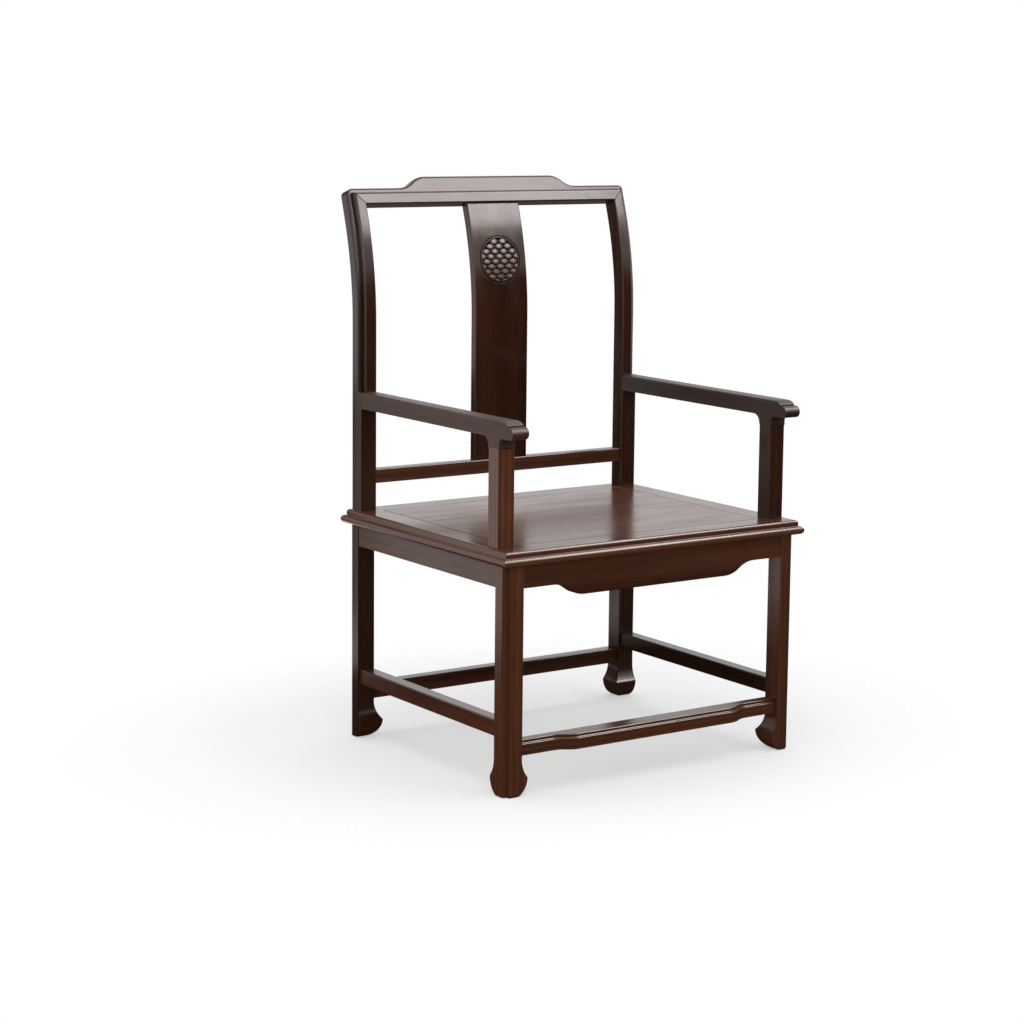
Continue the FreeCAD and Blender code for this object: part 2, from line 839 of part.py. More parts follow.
def dovetail(base, room):
    """Batten section from a base width, with room all round its dovetail."""
    top = groove_low + size.dovetail_depth + room
    return [
        (-base, batten_low),
        (base, batten_low),
        (base, groove_low),
        (neck + room, groove_low),
        (neck + size.dovetail_flare + room, top),
        (-neck - size.dovetail_flare - room, top),
        (-neck - room, groove_low),
        (-base, groove_low),
    ]


blanks["seat_batten"] = slab(
    "batten_bar", "XZ", dovetail(batten_half, 0), (panel_front, panel_rear)
)
cuts["seat_panel"].append(slab("batten_slot", "XZ", dovetail(batten_half, size.clearance), tongue_y))
for end, edge, direction in (("front", panel_front, -1), ("rear", panel_rear, 1)):
    tenon(
        "seat_batten",
        f"seat_rail_{end}",
        (-neck, neck),
        (edge - size.tenon_length, edge + size.tenon_length),
        frame_tenon_z,
    )

# Aprons: the front one drops to a lower middle with an ogee at each end
apron_low = seat_under - size.apron_height
apron_middle = apron_low - size.apron_drop
apron_turn = size.apron_flat_half + size.apron_ogee / 2
apron_end = size.apron_flat_half + size.apron_ogee
apron_level = apron_low - size.apron_drop / 2
apron_radius = ogee_radius(size.apron_ogee, size.apron_drop)
apron_front_y = inward(leg_front + size.apron_inset, 1, size.apron_thickness)
apron_rear_y = inward(leg_rear - size.apron_inset, -1, size.apron_thickness)
apron_tenon_z = (apron_low + size.tenon_shoulder, seat_under - size.tenon_shoulder)
leg_run = (-leg_inner, leg_inner)
side_run = (leg_front_inner, leg_rear_inner)
blanks["apron_front"] = slab(
    "apron_front_board",
    "XZ",
    [
        (-leg_inner, apron_low),
        (-apron_end, apron_low),
        (-apron_turn, apron_level, -apron_radius),
        (-size.apron_flat_half, apron_middle, apron_radius),
        (size.apron_flat_half, apron_middle),
        (apron_turn, apron_level, apron_radius),
        (apron_end, apron_low, -apron_radius),
        (leg_inner, apron_low),
        (leg_inner, seat_under),
        (-leg_inner, seat_under),
    ],
    apron_front_y,
)
soften(
    blanks["apron_front"],
    size.edge_round,
    lambda edge: flat_along("Y", edge)
    and edge.CenterOfGravity.z < apron_low.value + size.clearance.value
    and edge.CenterOfGravity.y < apron_front_y[0].value + size.clearance.value,
)
blanks["apron_rear"] = block("apron_rear_board", leg_run, apron_rear_y, (apron_low, seat_under))


def tenons_across(owner, end, y, z):
    """Tenons at both ends of a rail that runs from the left leg to the right one."""
    centre = (y[0] + y[1]) / 2
    for hand, side in SIDES:
        tenon(
            owner,
            f"leg_{end}_{hand}",
            span(side, leg_inner - size.tenon_length, leg_inner + size.tenon_length),
            middle(centre, size.tenon_thickness),
            z,
        )


def tenons_along(owner, hand, x, z):
    """Tenons at both ends of a rail that runs from a front leg to the back one."""
    centre = (x[0] + x[1]) / 2
    for end, face in (("front", leg_front_inner), ("back", leg_rear_inner)):
        tenon(
            owner,
            f"leg_{end}_{hand}",
            middle(centre, size.tenon_thickness),
            (face - size.tenon_length, face + size.tenon_length),
            z,
        )


tenons_across("apron_front", "front", apron_front_y, apron_tenon_z)
tenons_across("apron_rear", "back", apron_rear_y, apron_tenon_z)
for hand, side in SIDES:
    name = f"apron_{hand}"
    apron_edge = leg_outer - size.apron_inset
    apron_x = span(side, apron_edge - size.apron_thickness, apron_edge)
    blanks[name] = block(f"{name}_board", apron_x, side_run, (apron_low, seat_under))
    tenons_along(name, hand, apron_x, apron_tenon_z)

# Stretchers at the sides and the rear: plain bars with softened edges
stretcher_edge = leg_outer - size.side_stretcher_inset
stretcher_z = inward(size.hoof_height + size.side_stretcher_rise, 1, size.side_stretcher_height)
stretcher_tenon_z = (stretcher_z[0] + size.tenon_shoulder, stretcher_z[1] - size.tenon_shoulder)
for hand, side in SIDES:
    name = f"stretcher_{hand}"
    stretcher_x = span(side, stretcher_edge - size.side_stretcher_width, stretcher_edge)
    section = rounded_rectangle(stretcher_x, stretcher_z, size.edge_round)
    blanks[name] = slab(f"{name}_bar", "XZ", section, side_run)
    tenons_along(name, hand, stretcher_x, stretcher_tenon_z)
rear_y = inward(leg_rear - size.rear_stretcher_inset, -1, size.rear_stretcher_width)
rear_z = inward(size.hoof_height + size.rear_stretcher_rise, 1, size.rear_stretcher_height)
blanks["stretcher_rear"] = slab(
    "stretcher_rear_bar", "YZ", rounded_rectangle(rear_y, rear_z, size.edge_round), leg_run
)
tenons_across(
    "stretcher_rear", "back", rear_y, (rear_z[0] + size.tenon_shoulder, rear_z[1] - size.tenon_shoulder)
)

# Front stretcher: a foot rest that swells forward, with a step along its upper front edge
rest_low = size.hoof_height + size.front_stretcher_rise
rest_high = rest_low + size.front_stretcher_height
rest_step = rest_high - size.front_stretcher_step
rest_face = leg_front + size.front_stretcher_inset
rest_back = rest_face + size.front_stretcher_width
rest_radius = ogee_radius(size.front_stretcher_ogee, size.front_stretcher_bow)
rest_turn = size.front_stretcher_flat_half + size.front_stretcher_ogee / 2
rest_end = size.front_stretcher_flat_half + size.front_stretcher_ogee


def rest_plan(face):
    bow = face - size.front_stretcher_bow
    half_way = face - size.front_stretcher_bow / 2
    return [
        (-leg_inner, face),
        (-rest_end, face),
        (-rest_turn, half_way, -rest_radius),
        (-size.front_stretcher_flat_half, bow, rest_radius),
        (size.front_stretcher_flat_half, bow),
        (rest_turn, half_way, rest_radius),
        (rest_end, face, -rest_radius),
        (leg_inner, face),
        (leg_inner, rest_back),
        (-leg_inner, rest_back),
    ]


rest_lower = slab("stretcher_front_lower", "XY", rest_plan(rest_face), (rest_low, rest_step))
rest_upper = slab(
    "stretcher_front_upper", "XY", rest_plan(rest_face + size.front_stretcher_step), (rest_step, rest_high)
)
blanks["stretcher_front"] = boolean("Fuse", "stretcher_front_bar", rest_lower, rest_upper)
rest_tenon_z = (rest_low + size.tenon_shoulder, rest_high)
tenons_across("stretcher_front", "front", (rest_face, rest_back), rest_tenon_z)

# Pegs: one through each leg and the front stretcher's tenon in it
pegs = []
for hand, side in SIDES:
    for name, room in (("peg", 0), ("peg_hole", size.clearance)):
        peg = doc.addObject("Part::Cylinder", f"{name}_{hand}")
        peg.Placement = Placement(Vector(), Rotation(Vector(-1, 0, 0), 90))
        peg.setExpression("Radius", (size.peg_diameter / 2 + room).formula)
        peg.setExpression("Height", (size.peg_length + room).formula)
        peg.setExpression("Placement.Base.x", (side * (leg_inner + size.peg_inset)).formula)
        peg.setExpression("Placement.Base.y", leg_front.formula)
        peg.setExpression("Placement.Base.z", (rest_high - size.peg_drop).formula)
        if name == "peg":
            pegs.append(peg)
        else:
            cuts[f"leg_front_{hand}"].append(peg)
            cuts["stretcher_front"].append(peg)


# Sub-parts: each blank with its tenons joined on and its seats cut out
pieces = []
for name, blank in blanks.items():
    piece = gathered(f"{name}_with_tenons", [blank, *joins[name]])
    if cuts[name]:
        piece = boolean("Cut", f"{name}_seated", piece, gathered(f"{name}_seats", cuts[name]))
    piece.Label = name
    pieces.append(piece)
peg_group = doc.addObject("Part::Compound", "peg_group")
peg_group.Links = pegs
peg_group.Label = "joint_pegs"
pieces.append(peg_group)
doc.recompute()

# Checks and export
for item in doc.Objects:
    if {"Invalid", "Error"} & set(item.State):
        raise RuntimeError(f"{item.Label} did not rebuild: {item.State}")
os.makedirs("parts", exist_ok=True)
for piece in pieces:
    shape = piece.Shape
    wanted = len(pegs) if piece is peg_group else 1
    if shape.isNull() or not shape.isValid() or len(shape.Solids) != wanted:
        raise RuntimeError(f"{piece.Label} is not {wanted} sound solid(s)")
    shape.exportStep(f"parts/{piece.Label}.step")
    print(f"{piece.Label}: {shape.Volume / 1000:.1f} cm3")
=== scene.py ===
import math

import bmesh
import bpy
from mathutils import Matrix, Vector
from mathutils.bvhtree import BVHTree


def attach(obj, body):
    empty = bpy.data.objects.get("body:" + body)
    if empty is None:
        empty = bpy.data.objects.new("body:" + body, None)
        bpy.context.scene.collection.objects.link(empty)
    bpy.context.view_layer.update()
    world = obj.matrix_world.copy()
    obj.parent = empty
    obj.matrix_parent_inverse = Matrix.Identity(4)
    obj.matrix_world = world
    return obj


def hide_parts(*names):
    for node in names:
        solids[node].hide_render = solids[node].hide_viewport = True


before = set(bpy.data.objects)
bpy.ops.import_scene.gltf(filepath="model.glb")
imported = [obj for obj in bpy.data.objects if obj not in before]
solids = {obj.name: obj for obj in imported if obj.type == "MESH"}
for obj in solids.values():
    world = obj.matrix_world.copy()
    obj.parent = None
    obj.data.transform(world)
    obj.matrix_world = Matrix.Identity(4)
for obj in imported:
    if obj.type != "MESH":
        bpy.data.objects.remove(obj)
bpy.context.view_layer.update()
scene = bpy.context.scene

# Camera: a long lens on a tripod a little over a metre high, standing off the chair's front left corner.
# The picture is wider than the chair and holds it right of the middle.
lens = bpy.data.cameras.new("long_lens")
lens.sensor_width = 36
lens.lens = 88.412
lens.shift_x = -0.0605
lens.shift_y = -0.0508
camera = bpy.data.objects.new("camera", lens)
scene.collection.objects.link(camera)
stand = Matrix.Translation((-2.72855, -3.85298, 1.23644))
swing = Matrix.Rotation(math.radians(-35.482), 4, "Z")
tilt = Matrix.Rotation(math.radians(90 - 8.341), 4, "X")
roll = Matrix.Rotation(math.radians(0.779), 4, "Z")
camera.matrix_world = stand @ swing @ tilt @ roll
scene.camera = camera


# Legs: solid hardwood, sawn square with a hoof foot and a square notch down the outer corner.
# The two back legs run on through the seat as the back posts, so each is one long bent piece.
# All the wood is stained dark walnut and rubbed to a satin, with its sharp arrises eased by hand.
def node_in(tree, kind, **settings):
    made = tree.nodes.new(kind)
    for name, value in settings.items():
        setattr(made, name, value)
    return made


def stain_group():
    tree = bpy.data.node_groups.new("walnut_stain", "ShaderNodeTree")
    wanted = {
        "Grain": "NodeSocketVector",
        "Stain": "NodeSocketColor",
        "Dark": "NodeSocketColor",
        "Worn And Highlight": "NodeSocketColor",
        "Arris": "NodeSocketFloat",
        "Painted Shade": "NodeSocketFloat",
        "Figure": "NodeSocketFloat",
        "Pores": "NodeSocketFloat",
        "Satin": "NodeSocketFloat",
    }
    for name, kind in wanted.items():
        tree.interface.new_socket(name, in_out="INPUT", socket_type=kind)
    tree.interface.new_socket("Colour", in_out="OUTPUT", socket_type="NodeSocketColor")
    tree.interface.new_socket("Roughness", in_out="OUTPUT", socket_type="NodeSocketFloat")
    tree.interface.new_socket("Height", in_out="OUTPUT", socket_type="NodeSocketFloat")
    given = tree.nodes.new("NodeGroupInput").outputs
    result = tree.nodes.new("NodeGroupOutput").inputs
    link = tree.links.new

    def drawn_out(length):
        stretch = node_in(tree, "ShaderNodeVectorMath", operation="MULTIPLY")
        stretch.inputs[1].default_value = (1, 1, 1 / length)
        link(given["Grain"], stretch.inputs[0])
        return stretch.outputs["Vector"]

    def noise(scale, length, detail):
        made = tree.nodes.new("ShaderNodeTexNoise")
        made.inputs["Scale"].default_value = scale
        made.inputs["Detail"].default_value = detail
        link(drawn_out(length), made.inputs["Vector"])
        return made.outputs["Fac"]

    def ranged(value, low, high, to_low, to_high):
        made = node_in(tree, "ShaderNodeMapRange", interpolation_type="SMOOTHSTEP")
        made.inputs["From Min"].default_value = low
        made.inputs["From Max"].default_value = high
        made.inputs["To Min"].default_value = to_low
        made.inputs["To Max"].default_value = to_high
        link(value, made.inputs["Value"])
        return made.outputs["Result"]

    def math_of(operation, first, second):
        made = node_in(tree, "ShaderNodeMath", operation=operation)
        for value, socket in zip((first, second), made.inputs):
            if isinstance(value, (int, float)):
                socket.default_value = value
            else:
                link(value, socket)
        return made.outputs["Value"]

    def blended(share, first, second, mode="MIX"):
        made = node_in(tree, "ShaderNodeMix", data_type="RGBA", blend_type=mode, clamp_factor=True)
        link(share, made.inputs["Factor"])
        link(first, made.inputs["A"])
        link(second, made.inputs["B"])
        return made.outputs["Result"]

    ring_share = 0.4
    fibre_share = 0.3
    board_share = 0.75
    pore_shade = 0.6
    pore_roughness = 0.12
    hollow_shade = 0.85
    hollow_roughness = 0.1
    rubbed_shine = 0.05
    fibre_relief = 0.25
    boards = noise(scale=9, length=14, detail=3)
    rings = node_in(tree, "ShaderNodeTexWave", wave_type="RINGS", rings_direction="Z")
    rings.inputs["Scale"].default_value = 34
    rings.inputs["Distortion"].default_value = 5.5
    rings.inputs["Detail"].default_value = 3
    rings.inputs["Detail Scale"].default_value = 0.35
    link(drawn_out(16), rings.inputs["Vector"])
    fibres = noise(scale=620, length=55, detail=2)
    pores = ranged(noise(scale=1150, length=18, detail=2), 0.58, 0.7, 0, 1)
    shown_pores = math_of("MULTIPLY", pores, given["Pores"])

    figure = math_of("MULTIPLY", rings.outputs["Fac"], ring_share)
    figure = math_of("ADD", figure, ranged(fibres, 0.3, 0.7, 0, fibre_share))
    figure = math_of("ADD", figure, ranged(boards, 0.32, 0.68, 0, board_share))
    figure = math_of("MULTIPLY", figure, given["Figure"])
    colour = blended(figure, given["Stain"], given["Dark"])
    pore_dark = math_of("MULTIPLY", shown_pores, pore_shade)
    colour = blended(pore_dark, colour, given["Dark"], "MULTIPLY")
    # Rubbed wear makes the eased arrises paler, and this paler colour also stands as their painted
    # highlight.
    handling = ranged(noise(scale=60, length=6, detail=2), 0.35, 0.65, 0.15, 0.8)
    rubbed_and_highlit = math_of("MULTIPLY", given["Arris"], handling)
    colour = blended(rubbed_and_highlit, colour, given["Worn And Highlight"])
    # Painted shade: where the carving is marked, the colour is darkened toward the dark stain.
    painted_shade_dark = math_of("MULTIPLY", given["Painted Shade"], hollow_shade)
    colour = blended(painted_shade_dark, colour, given["Dark"], "MULTIPLY")
    link(colour, result["Colour"])

    cloudy = ranged(noise(scale=26, length=5, detail=3), 0.3, 0.7, -0.03, 0.05)
    gloss = math_of("ADD", given["Satin"], cloudy)
    gloss = math_of("ADD", gloss, math_of("MULTIPLY", shown_pores, pore_roughness))
    gloss = math_of("ADD", gloss, math_of("MULTIPLY", given["Painted Shade"], hollow_roughness))
    link(math_of("SUBTRACT", gloss, math_of("MULTIPLY", rubbed_and_highlit, rubbed_shine)), result["Roughness"])
    height = math_of("MULTIPLY", fibres, fibre_relief)
    link(math_of("SUBTRACT", height, shown_pores), result["Height"])
    return tree


stain = stain_group()
grain_turns = {"X": (0, -90, 0), "Y": (90, 0, 0), "Z": (0, 0, 0)}
stain_colour = Vector((0.080, 0.0255, 0.0098))
dark_colour = Vector((0.031, 0.0094, 0.0038))
worn_and_highlight_colour = Vector((0.140, 0.055, 0.023))
fibre_height = 0.0003


# Tone scales the stain: the wood's own tone on some pieces, painted light on lit left pieces, painted
# shade on back and right ones.
def walnut(
    name, along, sawn_at, tone_and_painted_light=1.0, figure=0.8, pores=0.3, satin=0.2, relief_depth=0.1, specular=0.5
):
    """One board's finish: the stain's pattern, turned so that its grain runs along the board."""
    made = bpy.data.materials.new(name)
    made.use_nodes = True
    tree = made.node_tree
    shader = tree.nodes["Principled BSDF"]
    place = tree.nodes.new("ShaderNodeTexCoord")
    saw = tree.nodes.new("ShaderNodeMapping")
    saw.inputs["Location"].default_value = sawn_at
    saw.inputs["Rotation"].default_value = [math.radians(angle) for angle in grain_turns[along]]
    edges = node_in(tree, "ShaderNodeAttribute", attribute_name="arris")
    # This mark carries painted shade in the carving's hollows.
    shade_marks = node_in(tree, "ShaderNodeAttribute", attribute_name="painted_shade")
    colours = node_in(tree, "ShaderNodeGroup", node_tree=stain)
    colours.inputs["Stain"].default_value = (*(stain_colour * tone_and_painted_light), 1)
    colours.inputs["Dark"].default_value = (*(dark_colour * tone_and_painted_light), 1)
    colours.inputs["Worn And Highlight"].default_value = (*(worn_and_highlight_colour * tone_and_painted_light), 1)
    colours.inputs["Figure"].default_value = figure
    colours.inputs["Pores"].default_value = pores
    colours.inputs["Satin"].default_value = satin
    relief = tree.nodes.new("ShaderNodeBump")
    relief.inputs["Strength"].default_value = relief_depth
    relief.inputs["Distance"].default_value = fibre_height
    link = tree.links.new
    link(place.outputs["Object"], saw.inputs["Vector"])
    link(saw.outputs["Vector"], colours.inputs["Grain"])
    link(edges.outputs["Fac"], colours.inputs["Arris"])
    link(shade_marks.outputs["Fac"], colours.inputs["Painted Shade"])
    link(colours.outputs["Colour"], shader.inputs["Base Color"])
    link(colours.outputs["Roughness"], shader.inputs["Roughness"])
    link(colours.outputs["Height"], relief.inputs["Height"])
    link(relief.outputs["Normal"], shader.inputs["Normal"])
    shader.inputs["IOR"].default_value = 1.5
    shader.inputs["Specular IOR Level"].default_value = specular
    return made


same_point = 0.000002
joint_gap = 0.0004
sharp_corner = math.radians(28)
flat_join = math.radians(0.3)


def others_of(node):
    """Search tree of every solid but one, to tell its free arrises from its joint lines."""
    points = []
    faces = []
    for name, solid in solids.items():
        if name != node:
            start = len(points)
            points += [vertex.co.copy() for vertex in solid.data.vertices]
            faces += [[start + index for index in polygon.vertices] for polygon in solid.data.polygons]
    return BVHTree.FromPolygons(points, faces)


def dressed(node, name, finish, arris=0.0013, joint_lines=(), is_shaded_sunk=None):
    """Copy of a solid with its free arrises eased, which then stands for it."""
    work = bmesh.new()
    work.from_mesh(solids[node].data)
    bmesh.ops.remove_doubles(work, verts=work.verts, dist=same_point)
    bmesh.ops.dissolve_limit(work, angle_limit=flat_join, verts=work.verts, edges=work.edges)
    neighbours = others_of(node)

    def is_clear(point):
        return neighbours.find_nearest(point, joint_gap)[0] is None

    free = []
    for edge in work.edges:
        if edge.is_manifold and edge.calc_face_angle() > sharp_corner:
            if is_clear((edge.verts[0].co + edge.verts[1].co) / 2):
                free.append(edge)
    eased = bmesh.ops.bevel(
        work,
        geom=free,
        offset=arris,
        offset_type="OFFSET",
        segments=3,
        profile=0.5,
        affect="EDGES",
        clamp_overlap=True,
    )
    rounded = set(eased["faces"])
    # The eased strips are marked for the paler rubbed wear, which is also a painted highlight.
    wear_and_highlight = work.verts.layers.float.new("arris")
    for vertex in work.verts:
        around = vertex.link_faces
        vertex[wear_and_highlight] = float(len(around) > 0 and all(face in rounded for face in around))
    for point, inwards, width in joint_lines:
        everything = work.verts[:] + work.edges[:] + work.faces[:]
        inner_edge = point + inwards * width
        bmesh.ops.bisect_plane(work, geom=everything, plane_co=inner_edge, plane_no=inwards)
    for face in work.faces:
        face.smooth = True
        middle = face.calc_center_median()
        in_joint = any((middle - point).dot(inwards) < width for point, inwards, width in joint_lines)
        # Joint lines take the dark finish, and the sunk field takes it as painted shade.
        face.material_index = int(in_joint or bool(is_shaded_sunk and is_shaded_sunk(middle)))
    for edge in work.edges:
        edge.smooth = edge.is_manifold and edge.calc_face_angle() < sharp_corner
    mesh = bpy.data.meshes.new(name)
    mesh.materials.append(finish)
    if joint_lines or is_shaded_sunk:
        mesh.materials.append(joint_line_and_shade_finish)
    work.to_mesh(mesh)
    work.free()
    piece = bpy.data.objects.new(name, mesh)
    scene.collection.objects.link(piece)
    flats = piece.modifiers.new("flats", "WEIGHTED_NORMAL")
    flats.keep_sharp = True
    flats.weight = 100
    finished = piece.evaluated_get(bpy.context.evaluated_depsgraph_get())
    ready = bpy.data.meshes.new_from_object(finished)
    piece.modifiers.clear()
    piece.data = ready
    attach(piece, "root")
    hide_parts(node)


# One dark finish serves the joint lines, which are dark joints, and the splat's sunk round and the
# carving's hollows, where it is painted shade.
joint_line_and_shade_finish = walnut("walnut_joint_lines_and_painted_shade", "Z", (0.5, 0.5, 0.5), tone_and_painted_light=0.12, satin=0.6, specular=0.05)
# The front left leg's stain is paler, painted light on the lit side; the back legs' stains are darker,
# painted shade under the seat.
leg_finish_lit = walnut("walnut_leg_painted_light", "Z", (0.21, 0.13, 0.0), tone_and_painted_light=1.3)
leg_finish = walnut("walnut_leg", "Z", (0.27, 0.43, 0.2))
back_left_leg_shaded = walnut("walnut_back_left_leg_painted_shade", "Z", (0.36, 0.23, 0.5), tone_and_painted_light=0.45)
back_right_leg_shaded = walnut("walnut_back_right_leg_painted_shade", "Z", (0.61, 0.17, 0.3), tone_and_painted_light=0.8)
dressed("leg_front_left", "front_leg_left", leg_finish_lit)
dressed("leg_front_right", "front_leg_right", leg_finish)
mitre_line = 0.0007
back_lean = math.radians(17.5)
mitre_left = Vector((-0.3, 0.2553, 1.0311))
mitre_right = Vector((0.3, 0.2553, 1.0311))
mitre_face_left = Vector((1, math.sin(back_lean), math.cos(back_lean))).normalized()
mitre_face_right = Vector((-1, math.sin(back_lean), math.cos(back_lean))).normalized()
post_mitre_left = [(mitre_left, -mitre_face_left, mitre_line)]
post_mitre_right = [(mitre_right, -mitre_face_right, mitre_line)]
dressed("leg_back_left", "back_leg_left", back_left_leg_shaded, joint_lines=post_mitre_left)
dressed("leg_back_right", "back_leg_right", back_right_leg_shaded, joint_lines=post_mitre_right)

# Seat: a mitred frame of four moulded rails round a flat floating panel, tongued into their grooves.
# A dovetailed batten under the middle keeps the panel flat.
rail_look = {"tone_and_painted_light": 1.4, "figure": 0.65, "satin": 0.19, "relief_depth": 0.05}
panel_look = {"tone_and_painted_light": 1.3, "figure": 0.4, "pores": 0.1, "satin": 0.22, "relief_depth": 0.03}
rail_finish_across = walnut("walnut_seat_rails_across", "X", (0.05, 0.41, 0.3), **rail_look)
rail_finish_deep = walnut("walnut_seat_rails_deep", "Y", (0.33, 0.12, 0.0), **rail_look)
panel_finish = walnut("walnut_seat_panel", "X", (0.02, 0.3, 0.11), **panel_look)
rail_arris = 0.0006
panel_arris = 0.0005
batten_arris = 0.0008
dressed("seat_rail_front", "seat_frame_front", rail_finish_across, rail_arris)
dressed("seat_rail_rear", "seat_frame_rear", rail_finish_across, rail_arris)
dressed("seat_rail_left", "seat_frame_left", rail_finish_deep, rail_arris)
dressed("seat_rail_right", "seat_frame_right", rail_finish_deep, rail_arris)
panel_points = [vertex.co for vertex in solids["seat_panel"].data.vertices]
panel_height = max(point.z for point in panel_points)
top_skin = 0.0002
panel_top = [point for point in panel_points if point.z > panel_height - top_skin]
panel_low = Vector(min(point[axis] for point in panel_top) for axis in range(3))
panel_high = Vector(max(point[axis] for point in panel_top) for axis in range(3))
panel_groove = 0.0009
panel_edges = [
    (panel_low, Vector((1, 0, 0)), panel_groove),
    (panel_low, Vector((0, 1, 0)), panel_groove),
    (panel_high, Vector((-1, 0, 0)), panel_groove),
    (panel_high, Vector((0, -1, 0)), panel_groove),
]
dressed("seat_panel", "seat_board", panel_finish, panel_arris, joint_lines=panel_edges)
dressed("seat_batten", "seat_under_batten", rail_finish_deep, batten_arris)

# Aprons: thin boards under the seat frame, tenoned into the legs just behind their faces.
# The front one drops in an ogee at each end to a long straight middle.
apron_finish_across = walnut("walnut_aprons_across", "X", (0.4, 0.07, 0.9))
apron_finish_deep = walnut("walnut_aprons_deep", "Y", (0.15, 0.5, 0.2), tone_and_painted_light=1.4)
dressed("apron_front", "apron_board_front", apron_finish_across)
dressed("apron_rear", "apron_board_rear", apron_finish_across)
dressed("apron_left", "apron_board_left", apron_finish_deep)
dressed("apron_right", "apron_board_right", apron_finish_deep)

# Stretchers: square bars tenoned between the legs, two higher at the sides, one low at the back.
# The front one bows forward as a foot rest, and a small turned peg locks each of its tenons.
stretcher_finish_across = walnut("walnut_stretchers_across", "X", (0.7, 0.22, 0.5))
stretcher_finish_deep = walnut("walnut_stretchers_deep", "Y", (0.6, 0.18, 0.8), tone_and_painted_light=1.2)
# The right and rear bars' stains are darker, painted shade.
stretcher_finish_shaded = walnut("walnut_stretcher_painted_shade", "Y", (0.16, 0.82, 0.3), tone_and_painted_light=0.3)
rear_stretcher_shaded = walnut("walnut_stretcher_rear_painted_shade", "X", (0.37, 0.71, 0.1), tone_and_painted_light=0.8)
foot_rest_arris = 0.0016
peg_arris = 0.0004
dressed("stretcher_left", "side_bar_left", stretcher_finish_deep)
dressed("stretcher_right", "side_bar_right", stretcher_finish_shaded)
dressed("stretcher_rear", "rear_bar", rear_stretcher_shaded)
dressed("stretcher_front", "foot_rest_bar", stretcher_finish_across, foot_rest_arris)
dressed("joint_pegs", "locking_pegs", stretcher_finish_deep, peg_arris)

# Back: a crest rail mitred to the posts and raised in the middle, a plain low rail above the seat,
# and between them a broad splat, sawn to the posts' curve.
back_finish_across = walnut("walnut_back_across", "X", (0.1, 0.62, 0.35), satin=0.16)
low_bar_finish = walnut("walnut_low_bar", "X", (0.3, 0.22, 0.75), tone_and_painted_light=1.6, figure=0.9)
# The splat's stain is darker, painted shade at the back of the chair.
splat_finish_shaded = walnut("walnut_splat_painted_shade", "Z", (0.03, 0.34, 0.6), tone_and_painted_light=0.75, figure=0.95, satin=0.14)
crest_mitres = [(mitre_left, mitre_face_left, mitre_line), (mitre_right, mitre_face_right, mitre_line)]
dressed("crest_rail", "crest", back_finish_across, joint_lines=crest_mitres)
dressed("back_rail", "low_back_bar", low_bar_finish)
splat_bend = 0.67262
splat_bend_centre = Vector((0, 0.89521, 0.798))
medallion_turn = math.radians(9.6)
medallion_facing = Vector((0, -math.cos(medallion_turn), math.sin(medallion_turn)))
medallion_centre = splat_bend_centre + splat_bend * medallion_facing
medallion_reach = 0.048
medallion_depth = 0.003
splat_skin = 0.0003
splat_arris = 0.0008


def in_medallion(point):
    below = splat_bend - (Vector((0, point.y, point.z)) - splat_bend_centre).length
    return splat_skin < below < medallion_depth and (point - medallion_centre).length < medallion_reach


dressed("back_splat", "splat", splat_finish_shaded, splat_arris, is_shaded_sunk=in_medallion)

# Medallion: overlapping fish scales, carved into the sunk round on the splat's face.
# Each scale is a low shell, deep at its top and full at its rounded lower rim,
# and the rows lie over each other like roof tiles.
carving_finish = walnut("walnut_carving", "Z", (0.03, 0.34, 0.6), figure=0.6)
scale_pitch = 0.0203
scale_rise = 0.0098


def fish_scale():
    """One scale, lying flat: round in plan, full at its lower rim and falling to its top and sides."""
    radius = 0.0114
    crown = 0.0008
    root = -0.0021
    side_fall = 0.0012
    rim_fall = 0.0006
    rim_start = 0.7
    back_level = -0.0036
    shade_depth_start = -0.0006
    shade_depth_width = 0.0008
    shade_start = 0.0014
    shade_width = 0.0016
    sides = 32
    rings = (0.15, 0.3, 0.45, 0.6, 0.72, 0.84, 0.93, 1.0)
    points = []
    shade_marks = []
    for reach in rings:
        rim = rim_fall * max(0, (reach - rim_start) / (1 - rim_start)) ** 2
        for side in range(sides):
            turn = 2 * math.pi * side / sides
            across = reach * math.cos(turn)
            up = reach * math.sin(turn)
            level = crown + (root - crown) * (up + 1) / 2 - side_fall * across ** 2 - rim
            points.append((across * radius, up * radius, level))
            # Painted shade: darker low in the scale and in a band just under the next row's rims.
            to_next = (abs(across * radius) - scale_pitch / 2, up * radius - scale_rise)
            from_next = math.hypot(*to_next) - radius
            deep = (shade_depth_start - level) / shade_depth_width
            shade_marks.append(min(1, max(0, deep, 1 - (from_next - shade_start) / shade_width)))
    back = len(points)
    for side in range(sides):
        x, y = points[back - sides + side][:2]
        points.append((x, y, back_level))
        shade_marks.append(1)
    faces = [list(range(sides)), [back + side for side in reversed(range(sides))]]
    for ring in range(len(rings)):
        for side in range(sides):
            first = ring * sides + side
            second = ring * sides + (side + 1) % sides
            faces.append([first, first + sides, second + sides, second])
    mesh = bpy.data.meshes.new("fish_scale")
    mesh.from_pydata(points, [], faces)
    for polygon in mesh.polygons:
        polygon.use_smooth = max(polygon.vertices) < back
    mesh.attributes.new("painted_shade", "FLOAT", "POINT").data.foreach_set("value", shade_marks)
    return mesh


